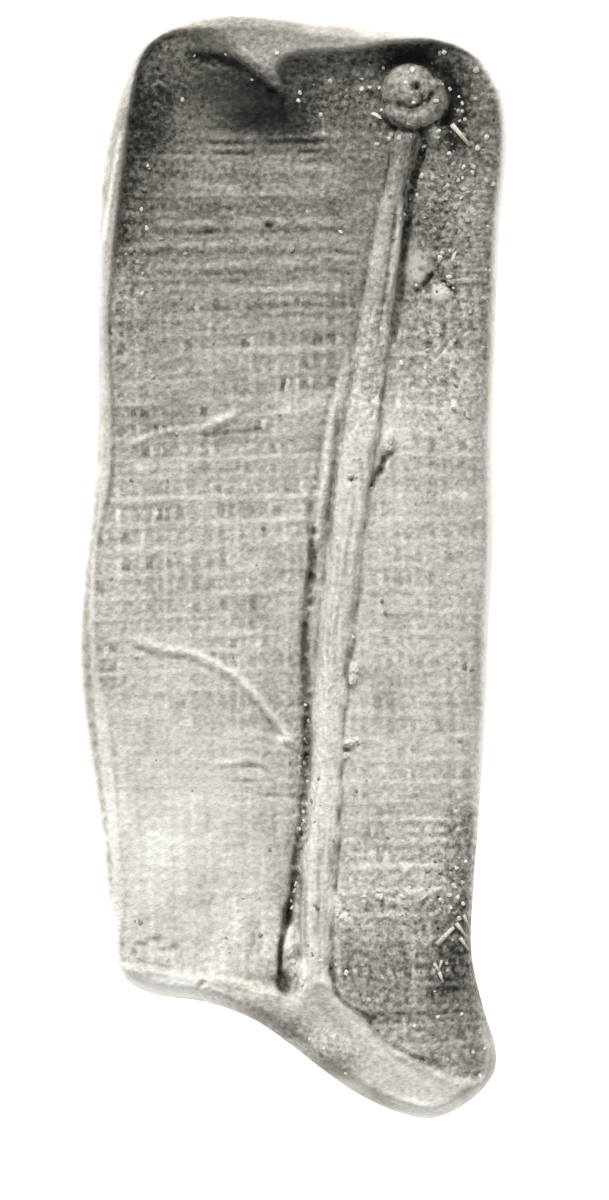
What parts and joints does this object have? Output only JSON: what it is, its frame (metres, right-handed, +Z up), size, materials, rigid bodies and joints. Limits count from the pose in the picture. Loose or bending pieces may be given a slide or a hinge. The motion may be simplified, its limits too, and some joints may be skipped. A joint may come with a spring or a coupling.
{
  "type": "mud sealing",
  "caption": "Long slab of dried mud with a boot-like toe: one face bears the print of woven cloth, a seam rib and a knot, the other is a smooth dome that it lies on.",
  "frame": {"origin": "on the flat that it rests on, under the middle of its box", "axes": "+Y along its length, towards the knotted end; +Z up, out of the printed face"},
  "size_m": [0.0328, 0.084, 0.0133],
  "materials": {
    "dried_mud": "matt, unfired, dusty"
  },
  "bodies": {
    "root": {"sealing": "dried_mud"}
  },
  "joints": []
}
